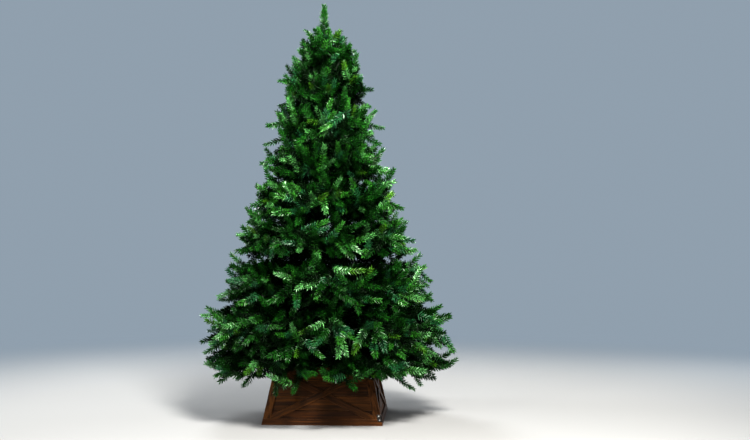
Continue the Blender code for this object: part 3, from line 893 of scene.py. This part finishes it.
def mergeInto(shell, piece, move):
    # adds a piece to a shell, with each of its points moved
    for vertex in piece.data.vertices:
        vertex.co = move(vertex.co.copy())
    shell.from_mesh(piece.data)
    bpy.data.objects.remove(piece, do_unlink=True)


def prism(shell, near, far):
    # a closed block between two outlines of as many points
    verts = [shell.verts.new(point) for point in (*near, *far)]
    count = len(near)
    faces = [shell.faces.new(verts[:count]), shell.faces.new(reversed(verts[count:]))]
    for i in range(count):
        j = (i + 1) % count
        faces.append(shell.faces.new((verts[i], verts[i + count], verts[j + count], verts[j])))
    bmesh.ops.recalc_face_normals(shell, faces=faces)


def soften(shell, radius):
    bmesh.ops.bevel(shell, geom=shell.edges[:], offset=radius, segments=2, affect="EDGES", profile=0.5)


def rounded(points, radius, steps, most):
    # the same line with its corners rounded; most is the share of a side that one may take
    smooth = [points[0]]
    for before, corner, after in zip(points, points[1:], points[2:]):
        reach = min(radius, most * (before - corner).length, most * (after - corner).length)
        start = corner + (before - corner).normalized() * reach
        end = corner + (after - corner).normalized() * reach
        smooth += bowed(start, corner, end, steps) if reach > 0 else [corner]
    return smooth + [points[-1]]


def softened(profile, radius, steps=3, most=0.45):
    # a turned piece's profile with its corners rounded
    smooth = rounded([Vector(point) for point in profile], radius, steps, most)
    return [(max(point.x, 0.0), point.y) for point in smooth]


pole = {
    "sections": ((0.0035, 0.016), (0.805, 0.0135), (1.285, 0.0105)),  # (foot height, radius)
    "top": 1.900,
    "sides": 32,
    "couplingLength": 0.035,
    "couplingWall": 0.0025,
    "ringHeight": 0.014,
    "ringWall": 0.009,
    "rounding": 0.0012,
}


def sectionRadius(height):
    return [radius for foot, radius in pole["sections"] if foot <= height][-1]


def enamel(board, shader):
    # paint with a slight orange-peel skin
    place = board.objectPlace()
    board.link(board.between(board.noise(place, 60.0, 3.0), 0.3, 0.8, 0.34, 0.52), shader, "Roughness")
    board.bump(shader, board.noise(place, 900.0, 1.0), 0.12, 0.0004)


def makePole():
    # three lengths, the sleeves that join them, and the rings that the boughs hang in
    bulges = [(foot, pole["couplingLength"], radius + pole["couplingWall"])
              for (foot, _), (_, radius) in zip(pole["sections"][1:], pole["sections"])]
    for tier in range(len(crown["boughsPerTier"])):
        height = Space(tier, 0).height(sectionRadius(crown["foot"]), 0.5)
        bulges.append((height, pole["ringHeight"], sectionRadius(height) + pole["ringWall"]))
    footHeight, footRadius = pole["sections"][0]
    profile = [(0.0, footHeight), (footRadius, footHeight)]
    for height, length, radius in sorted(bulges):
        low, high = height - length / 2, height + length / 2
        profile += [(sectionRadius(low), low), (radius, low), (radius, high), (sectionRadius(high), high)]
    profile += [(pole["sections"][-1][1], pole["top"]), (0.0, pole["top"])]
    material = makeMaterial("poleEnamel", {"Base Color": (0.010, 0.030, 0.014)}, enamel)
    fit(turned("pole_tube", softened(profile, pole["rounding"]), pole["sides"], material), "pole", "pole")


makePole()
print("pole done")

stand = {
    "socketRadius": 0.0215,
    "socketHeight": 0.200,
    "socketFloor": 0.003,
    "rounding": 0.001,
    "gap": 0.0005,  # between the pole and its socket
    "legCount": 4,
    "legGap": 0.0003,
    "legThickness": 0.018,
    "legTop": 0.145,
    "legShoulder": 0.075,  # how far out it bends down
    "legFoot": 0.045,  # how much of it lies on the floor
    "legReach": 0.315,
    "legBend": (0.022, 5, 0.5),  # radius, steps and the most it takes of a side
    "legRounding": 0.0022,
    "screwCount": 3,
    "screwDrop": 0.018,  # below the socket's rim
    "screwStart": 0.0012,  # in from the socket's bore
    "screwRadius": 0.003,
    "screwLength": 0.0215,
    "screwHead": (0.009, 0.0035),  # radius and thickness
    "screwShoulder": 0.0005,
    "screwFlat": 0.45,  # the head is pressed flat, for the fingers
    "screwRounding": 0.0012,
    "sides": 32,
}


def blackSteel(board, shader):
    place = board.objectPlace()
    dust = board.between(board.noise(place, 25.0, 4.0), 0.45, 0.8)
    board.link(board.mixColour(dust, (0.010, 0.010, 0.011), (0.024, 0.023, 0.022)), shader, "Base Color")
    board.link(0.36 + 0.2 * dust, shader, "Roughness")
    board.bump(shader, board.noise(place, 1400.0, 1.0), 0.15, 0.0003)


def makeStand():
    steel = makeMaterial("standSteel", {}, blackSteel)
    bore = pole["sections"][0][1] + stand["gap"]
    outer, top, floor = stand["socketRadius"], stand["socketHeight"], stand["socketFloor"]
    profile = [(0, 0), (outer, 0), (outer, top), (bore, top), (bore, floor), (0, floor)]
    tube = turned("stand_tube", softened(profile, stand["rounding"]), stand["sides"], steel)
    fit(tube, "stand", "stand_socket")
    makeScrews(steel, bore + stand["screwStart"])
    for index in range(stand["legCount"]):
        makeLeg(index, steel)


def makeScrews(steel, start):
    # thumb screws that clamp the pole
    radius, length = stand["screwRadius"], stand["screwLength"]
    head, thick = stand["screwHead"]
    neck = length + stand["screwShoulder"]
    profile = [(0, 0), (radius, 0), (radius, length), (head, neck), (head, neck + thick), (0, neck + thick)]
    profile = softened(profile, stand["screwRounding"])
    height = stand["socketHeight"] - stand["screwDrop"]
    joined = bmesh.new()
    for index in range(stand["screwCount"]):
        out = around(math.tau * (index + 0.5) / stand["screwCount"])
        across = Vector((-out.y, out.x, 0))

        def place(point):
            rise = point.y * (stand["screwFlat"] if point.z > length else 1.0)
            return out * (start + point.z) + across * point.x + Vector((0, 0, height + rise))

        mergeInto(joined, turned("screw", profile, stand["sides"] // 2), place)
    piece = shellObject("stand_screws", joined, steel)
    closeUp(piece)
    fit(piece, "stand")


def makeLeg(index, steel):
    # a square tube, bent out and down to a foot that lies on the floor
    along = around(math.tau * (index + 0.5) / stand["legCount"])
    across = Vector((-along.y, along.x, 0))
    half = stand["legThickness"] / 2
    line = [
        Vector((stand["socketRadius"] + stand["legGap"], stand["legTop"])),
        Vector((stand["legShoulder"], stand["legTop"])),
        Vector((stand["legReach"] - stand["legFoot"], half)),
        Vector((stand["legReach"], half)),
    ]
    path = rounded(line, *stand["legBend"])
    outline = squareOutline(half, stand["legRounding"])
    vertices, rings = [], []
    for i, place in enumerate(path):
        ahead = (path[min(i + 1, len(path) - 1)] - path[max(i - 1, 0)]).normalized()
        rise = Vector((0, 0, ahead.x)) - along * ahead.y
        centre = along * place.x + Vector((0, 0, place.y))
        ring = [centre + across * x + rise * z for x, z in outline]
        rings.append(range(len(vertices), len(vertices) + len(ring)))
        vertices += [(point.x, point.y, max(point.z, 0.0)) for point in ring]
    faces = [*ringFaces(rings), tuple(rings[0]), tuple(rings[-1])]
    leg = meshObject(f"stand_leg_bar_{index + 1}", vertices, faces=faces)
    closeUp(leg)
    leg.data.materials.append(steel)
    fit(leg, "stand", f"stand_leg_{index + 1}")


def squareOutline(half, rounding):
    # a square with three points round each corner
    inner = half - rounding
    outline = []
    for turn in range(4):
        middle = math.tau * (turn - 1.5) / 4
        x = math.copysign(inner, math.cos(middle))
        z = math.copysign(inner, math.sin(middle))
        for step in (-1, 0, 1):
            angle = middle + step * math.pi / 4
            outline.append((x + rounding * math.cos(angle), z + rounding * math.sin(angle)))
    return outline


makeStand()
print("stand done")

collar = {
    "height": 0.275,
    "footWidth": 0.590,
    "topWidth": 0.475,
    "turn": math.radians(-3.0),
    "centre": (0.016, 0.0),  # it stands round the stand, not quite in the middle
    "battenDepth": 0.009,
    "boardDepth": 0.011,
    "overlap": 0.0005,  # of battens and boards
    "stileWidth": 0.038,
    "railWidth": 0.030,
    "braceWidth": 0.030,
    "braceLap": 0.012,  # how far a brace runs in under the stiles
    "stileSet": 0.0004,  # how far stiles and braces lie behind the rails' face
    "braceSet": 0.0012,
    "planks": 4,
    "plankGap": 0.0016,
    "unevenBoards": 0.0004,
    "edgeRound": 0.0011,
    "rim": 0.0022,  # how far the wear runs in from an edge
    "jointGap": 0.0003,
    "sharp": 50,  # degrees between faces, where an edge stays sharp
    "broad": 3.0,  # a face more than this many rims wide has an unworn middle
    "grainStray": 3.0,  # how far apart in the wood the planks are cut
    "seed": 40,
}


def collarHalf(height):
    return 0.5 * blend(collar["footWidth"], collar["topWidth"], height / collar["height"])


def walnut(board, shader):
    # dark stained planks: long grain, bands of growth, open pores, rubbed edges
    grain = board.attribute("grain", "Vector")
    warp = board.noise(board.scaled(grain, (3.0, 14.0, 14.0)), 1.0, 2.0, out="Color")
    bent = board.vectorMaths("ADD", grain, board.scaled(warp, (0.0, 0.022, 0.022)))
    bands = board.noise(board.scaled(bent, (2.2, 95.0, 95.0)), 1.0, 3.0, 0.55)
    streaks = board.noise(board.scaled(bent, (9.0, 420.0, 420.0)), 1.0, 4.0, 0.6)
    pores = board.between(board.noise(board.scaled(bent, (40.0, 1500.0, 1500.0)), 1.0, 2.0), 0.60, 0.72)
    patches = board.noise(board.scaled(grain, (5.0, 16.0, 16.0)), 1.0, 2.0)
    light = board.between(0.55 * bands + 0.30 * streaks + 0.25 * patches, 0.38, 0.72)
    colour = board.mixColour(light, (0.014, 0.0048, 0.0008), (0.170, 0.064, 0.0120))
    colour = board.mixColour(0.75 * pores, colour, (0.006, 0.0025, 0.0012))
    darker = board.mixColour(1.0, colour, (0.50, 0.44, 0.40), "MULTIPLY")
    colour = board.mixColour(board.attribute("tint", "Fac"), colour, darker)
    rubbed = board.between(board.attribute("rim", "Fac") * board.noise(grain, 55.0, 3.0), 0.34, 0.62)
    board.link(board.mixColour(0.6 * rubbed, colour, (0.16, 0.075, 0.030)), shader, "Base Color")
    board.link(board.between(light + 0.4 * pores, 0.0, 1.4, 0.40, 0.66), shader, "Roughness")
    board.bump(shader, 0.6 * streaks + 0.5 * bands - 0.9 * pores, 0.35, 0.0006)


class Joinery:
    # the planks of one collar side, in one mesh, with each plank's own grain
    def __init__(self, side):
        angle = collar["turn"] + side * math.pi / 2
        self.across = around(angle)
        self.out = Vector((math.sin(angle), -math.cos(angle), 0))
        self.rng = random.Random(collar["seed"] + side)
        self.shell = bmesh.new()
        self.grain = self.shell.verts.layers.float_vector.new("grain")
        self.rim = self.shell.verts.layers.float.new("rim")
        self.tint = self.shell.verts.layers.float.new("tint")

    def place(self, across, height, depth):
        foot = Vector((*collar["centre"], height))
        return foot + self.across * across + self.out * (collarHalf(height) - depth)

    def plank(self, corners, outer, inner, grainTurn=0.0):
        # a flat bar from (across, height) corners, between two depths behind the outer face;
        # a corner at the left or right ends at the mitre
        outlines = []
        for depth in (outer, inner):
            outline = []
            for across, height in corners:
                edge = collarHalf(height) - depth - collar["jointGap"]
                across = {"left": -edge, "right": edge}.get(across, across)
                outline.append(self.place(across, height, depth))
            outlines.append(outline)
        bar = bmesh.new()
        prism(bar, *outlines)
        soften(bar, collar["edgeRound"])
        rim = collar["rim"]
        least = collar["broad"] * rim / 2
        broad = [face for face in bar.faces if face.calc_area() > least * face.calc_perimeter()]
        bmesh.ops.inset_individual(bar, faces=broad, thickness=rim, use_even_offset=True)
        middles = {vert for face in broad for vert in face.verts}
        self.take(bar, middles, grainTurn)

    def take(self, bar, middles, grainTurn):
        # copies the bar into the shell, with its grain's coordinates, tint and worn rim
        stray = collar["grainStray"]
        offset = Vector([self.rng.uniform(-stray, stray) for _ in range(3)])
        tint = self.rng.random()
        copies = {}
        for vert in bar.verts:
            copy = self.shell.verts.new(vert.co)
            across = vert.co.dot(self.across)
            along = across * math.cos(grainTurn) + vert.co.z * math.sin(grainTurn)
            width = vert.co.z * math.cos(grainTurn) - across * math.sin(grainTurn)
            copy[self.grain] = Vector((along, width, vert.co.dot(self.out))) + offset
            copy[self.rim] = 0.0 if vert in middles else 1.0
            copy[self.tint] = tint
            copies[vert] = copy
        for face in bar.faces:
            self.shell.faces.new([copies[vert] for vert in face.verts])
        bar.free()

    def row(self, low, high, outer, inner):
        # a plank from mitre to mitre
        self.plank([("left", low), ("right", low), ("right", high), ("left", high)], outer, inner)

    def boards(self):
        batten, depth, count = collar["battenDepth"], collar["boardDepth"], collar["planks"]
        step, gap = collar["height"] / count, collar["plankGap"] / 2
        for number in range(count):
            low = number * step + (gap if number else 0)
            high = (number + 1) * step - (gap if number < count - 1 else 0)
            self.row(low, high, batten + self.rng.uniform(0, collar["unevenBoards"]), batten + depth)

    def frame(self, back):
        height, rail, stile = collar["height"], collar["railWidth"], collar["stileWidth"]
        self.row(0, rail, 0, back)
        self.row(height - rail, height, 0, back)
        levels = (rail + collar["jointGap"], height - rail - collar["jointGap"])
        lean = math.atan2(height, collarHalf(height) - collarHalf(0))
        for sign, edge in ((-1, "left"), (1, "right")):
            foot, head = (sign * (collarHalf(z) - stile) for z in levels)
            corners = [(edge, levels[0]), (foot, levels[0]), (head, levels[1]), (edge, levels[1])]
            self.plank(corners, collar["stileSet"], back, lean if sign > 0 else math.pi - lean)

    def cross(self, back):
        # one whole brace, and a second in two halves that butt against it
        height, rail, stile = collar["height"], collar["railWidth"], collar["stileWidth"]
        half, depth = collar["braceWidth"] / 2, collar["braceSet"]
        start = Vector((stile - collarHalf(rail), rail))
        end = Vector((collarHalf(height - rail) - stile, height - rail))
        along = (end - start).normalized()
        normal = Vector((-along.y, along.x))
        start, end = start - along * collar["braceLap"], end + along * collar["braceLap"]
        corners = [start - normal * half, end - normal * half, end + normal * half, start + normal * half]
        self.plank([tuple(corner) for corner in corners], depth, back, math.atan2(along.y, along.x))
        mirrored = Vector((-along.x, along.y))
        sideways = Vector((-mirrored.y, mirrored.x)) * half
        for origin in (Vector((-start.x, start.y)), Vector((-end.x, end.y))):
            edges = []
            for point in (origin - sideways, origin + sideways):
                apart = normal.dot(point - start)
                stop = math.copysign(half + collar["jointGap"], apart)
                edges.append((point, point + mirrored * (stop - apart) / normal.dot(mirrored)))
            (a0, a1), (b0, b1) = edges
            corners = [tuple(corner) for corner in (a0, a1, b1, b0)]
            self.plank(corners, depth, back, math.atan2(mirrored.y, mirrored.x))


def makeCollar():
    material = makeMaterial("darkWalnut", {"Specular IOR Level": 0.10}, walnut)
    for side, name in enumerate(("collar_front", "collar_right", "collar_back", "collar_left")):
        joinery = Joinery(side)
        back = collar["battenDepth"] + collar["overlap"]
        joinery.boards()
        joinery.frame(back)
        joinery.cross(back)
        piece = shellObject(name + "_boards", joinery.shell, material)
        shadeSmooth(piece, collar["sharp"])
        fit(piece, "collar", name)


makeCollar()
print("collar done")

hinge = {
    "height": 0.034,
    "leaf": 0.019,
    "plate": 0.0016,
    "edgeRound": 0.0004,
    "gap": 0.0003,
    "knuckle": 0.003,
    "knuckles": 5,
    "knuckleRest": {"outside": 0.72, "inside": 1.0},  # its height off the face, in its radii
    "knuckleBite": 0.0012,  # how far a leaf runs into it
    "knuckleChamfer": 0.0005,
    "levels": (("low", 0.036), ("high", 0.236)),
    "screwRadius": 0.0040,
    "screwDome": (  # (share of the radius, height off the leaf), with a dimple in the middle
        (0, -0.0004), (1, -0.0004), (1, 0.0002), (0.85, 0.0007), (0.5, 0.0010), (0.2, 0.0010), (0, 0.0004),
    ),
    "screwSpread": 0.0095,  # above and below the middle
    "screwPlace": 0.0085,  # from the corner
    "sides": 16,
}


def agedSteel(board, shader):
    place = board.objectPlace()
    spots = board.between(board.noise(place, 220.0, 4.0), 0.42, 0.68)
    board.link(board.mixColour(spots, (0.055, 0.050, 0.046), (0.020, 0.018, 0.016)), shader, "Base Color")
    board.link(board.between(board.noise(place, 90.0, 3.0), 0.3, 0.7, 0.30, 0.55), shader, "Roughness")


def brightNickel(board, shader):
    place = board.objectPlace()
    board.link(board.between(board.noise(place, 600.0, 2.0), 0.3, 0.7, 0.18, 0.34), shader, "Roughness")


def screwTree():
    # copies of a shape on the points of a mesh, each turned as its point says
    tree, board, given = makeTree("screws", (
        ("Shape", "NodeSocketObject", None),
        ("Size", "NodeSocketFloat", 1.0),
        ("Finish", "NodeSocketMaterial", None),
    ))
    turn = board.stored("turn", "FLOAT_VECTOR")
    rotation = board.node("FunctionNodeEulerToRotation", None, {0: turn}, out=0)
    shape = board.node("GeometryNodeObjectInfo", None, {"Object": given["Shape"]}, out="Geometry")
    copies = board.node("GeometryNodeInstanceOnPoints", None, {
        "Points": given["Geometry"], "Instance": shape, "Rotation": rotation, "Scale": given["Size"],
    }, out=0)
    endTree(board, copies, given["Finish"])
    return tree


def makeHinges():
    steel = makeMaterial("agedSteel", {"Metallic": 1.0}, agedSteel)
    nickel = makeMaterial("brightNickel", {"Metallic": 1.0, "Base Color": (0.72, 0.70, 0.66)}, brightNickel)
    radius = hinge["screwRadius"]
    dome = [(share * radius, height) for share, height in hinge["screwDome"]]
    head = turned("screwHead", dome, hinge["sides"])
    tree = screwTree()
    for side in range(4):
        for level, height in hinge["levels"]:
            name = f"hinge_{side + 1}_{level}"
            seats, turns = makeHinge(side, height, name, steel)
            source = meshObject(name + "_seats", seats, values={"turn": ("FLOAT_VECTOR", turns)})
            fit(runTree(name + "_screws", source, tree, {"Shape": head, "Finish": nickel}), "hinges")
    bpy.data.objects.remove(head, do_unlink=True)


def makeHinge(side, height, name, steel):
    # two leaves folded round a corner, and the barrel between them; every other one is inside
    inside = side % 2 == 1
    way = -1 if inside else 1
    seat = collar["battenDepth"] + collar["boardDepth"] if inside else 0.0
    near = seat - way * hinge["gap"]
    proud = near - way * hinge["plate"]
    rest = hinge["knuckle"] * hinge["knuckleRest"]["inside" if inside else "outside"]
    axisDepth = near - way * (rest + hinge["gap"])
    levels = (height - hinge["height"] / 2, height + hinge["height"] / 2)
    slope = math.atan2(collarHalf(0) - collarHalf(collar["height"]), collar["height"])
    joined = bmesh.new()
    seats, turns = [], []
    walls = (Joinery(side), Joinery(side + 1))
    for wall, sign in zip(walls, (1, -1)):
        bite = axisDepth + way * hinge["knuckleBite"]
        corners = [(sign * (collarHalf(z) - seat - hinge["leaf"]), z) for z in levels]
        corners += [(sign * (collarHalf(z) - bite), z) for z in reversed(levels)]
        leaf = bmesh.new()
        prism(leaf, *([wall.place(across, z, depth) for across, z in corners] for depth in (near, proud)))
        soften(leaf, hinge["edgeRound"])
        mergeInto(joined, shellObject("leaf", leaf), Vector)
        outward = (wall.out + Vector((0, 0, math.sin(slope)))).normalized() * way
        for z in (height - hinge["screwSpread"], height + hinge["screwSpread"]):
            seats.append(wall.place(sign * (collarHalf(z) - seat - hinge["screwPlace"]), z, proud))
            turns.append(outward.to_track_quat("Z", "Y").to_euler())
    addBarrel(joined, *(walls[0].place(collarHalf(z) - axisDepth, z, axisDepth) for z in levels))
    for wall in walls:
        wall.shell.free()
    piece = shellObject(name + "_leaves", joined, steel)
    closeUp(piece)
    fit(piece, "hinges", name)
    return seats, turns


def addBarrel(joined, start, end):
    # the knuckles in a row along the pin
    run = end - start
    radius, chamfer = hinge["knuckle"], hinge["knuckleChamfer"]
    neck = radius - chamfer
    part = run.length / hinge["knuckles"]
    profile = [(0, 0)]
    for number in range(hinge["knuckles"]):
        low, high = number * part, (number + 1) * part
        profile += [(neck, low), (radius, low + chamfer), (radius, high - chamfer), (neck, high)]
    profile.append((0, run.length))
    turn = run.to_track_quat("Z", "Y")
    mergeInto(joined, turned("barrel", profile, hinge["sides"]), lambda point: start + turn @ point)


makeHinges()
print("hinges done")

studio = {
    "floorReach": 60.0,
    "floorColour": (0.25, 0.25, 0.25),
    "backdrop": (0.36, 0.43, 0.50),
    "ceiling": (0.05, 0.055, 0.06),
    "ceilingRise": (0.16, 0.5),  # where the wall turns into the ceiling
    "sweep": (1.5, 4.6),  # where the floor turns into the backdrop, from the tree
    "cameraPlace": (0.259, -6.45, 0.997),
    "lens": 60.9,
    "gamma": 0.80,
}

lamps = {  # place, aim, size, power, colour, spread in degrees
    "key": ((1.05, -3.0, 3.4), (0, 0, 1.1), 1.2, 750, (1.0, 0.98, 0.93), 180),
    "fill": ((-2.6, -4.4, 1.7), (0, 0, 0.9), 0.8, 100, (0.97, 0.99, 1.0), 180),
    "middle": ((-0.4, -4.2, 2.6), (0, 0, 1.35), 0.6, 6, (1.0, 0.99, 0.95), 30),
    "left": ((-4.0, 0.4, 2.6), (0, 0, 0.9), 1.4, 140, (0.97, 0.99, 1.0), 180),
    "back": ((-1.2, 3.8, 3.2), (0, 0, 1.0), 1.6, 330, (0.95, 0.98, 1.0), 180),
    "backRight": ((3.6, 2.4, 1.6), (0, 0, 0.8), 1.6, 110, (0.97, 0.99, 1.0), 180),
}


def paleFloor(board, shader):
    # pale round the tree, and the backdrop's own tone far from it, so that no horizon shows
    place = board.objectPlace()
    distance = board.node("ShaderNodeVectorMath", {"operation": "LENGTH"}, {0: place}, out="Value")
    away = board.between(distance, *studio["sweep"])
    board.link(board.mixColour(away, studio["floorColour"], (0.0, 0.0, 0.0)), shader, "Base Color")
    board.link(board.mixColour(away, (0.0, 0.0, 0.0), studio["backdrop"]), shader, "Emission Color")


def areaLight(name, place, aim, size, power, colour, spread):
    lamp = bpy.data.lights.new(name, "AREA")
    lamp.shape = "DISK"
    lamp.size = size
    lamp.energy = power
    lamp.color = colour
    lamp.spread = math.radians(spread)
    light = bpy.data.objects.new(name, lamp)
    light.location = place
    light.rotation_euler = (Vector(aim) - Vector(place)).to_track_quat("-Z", "Y").to_euler()
    bpy.context.scene.collection.objects.link(light)


def makeWorld():
    # a pale wall all round, under a dim ceiling
    world = bpy.data.worlds.new("studio")
    world.use_nodes = True
    board = NodeBoard(world.node_tree)
    direction = board.node("ShaderNodeTexCoord", out="Generated")
    rise = board.node("ShaderNodeSeparateXYZ", None, {0: direction}, out="Z")
    ceiling = board.between(rise, *studio["ceilingRise"])
    tone = board.mixColour(ceiling, studio["backdrop"], studio["ceiling"])
    board.link(tone, world.node_tree.nodes["Background"], "Color")
    bpy.context.scene.world = world


def makeStudio():
    reach = studio["floorReach"]
    corners = [(-reach, -reach, 0), (reach, -reach, 0), (reach, reach, 0), (-reach, reach, 0)]
    floor = meshObject("floor", corners, faces=((0, 1, 2, 3),))
    values = {"Roughness": 0.9, "Specular IOR Level": 0.0, "Emission Strength": 1.0}
    floor.data.materials.append(makeMaterial("paleFloor", values, paleFloor))
    makeWorld()
    for name, values in lamps.items():
        areaLight(name, *values)
    lens = bpy.data.cameras.new("camera")
    lens.lens = studio["lens"]
    camera = bpy.data.objects.new("camera", lens)
    camera.location = studio["cameraPlace"]
    camera.rotation_euler = (math.radians(90), 0, 0)
    scene = bpy.context.scene
    scene.collection.objects.link(camera)
    scene.camera = camera
    scene.view_settings.view_transform = "Standard"
    scene.view_settings.gamma = studio["gamma"]


makeStudio()
print("studio done")

bpy.context.view_layer.update()
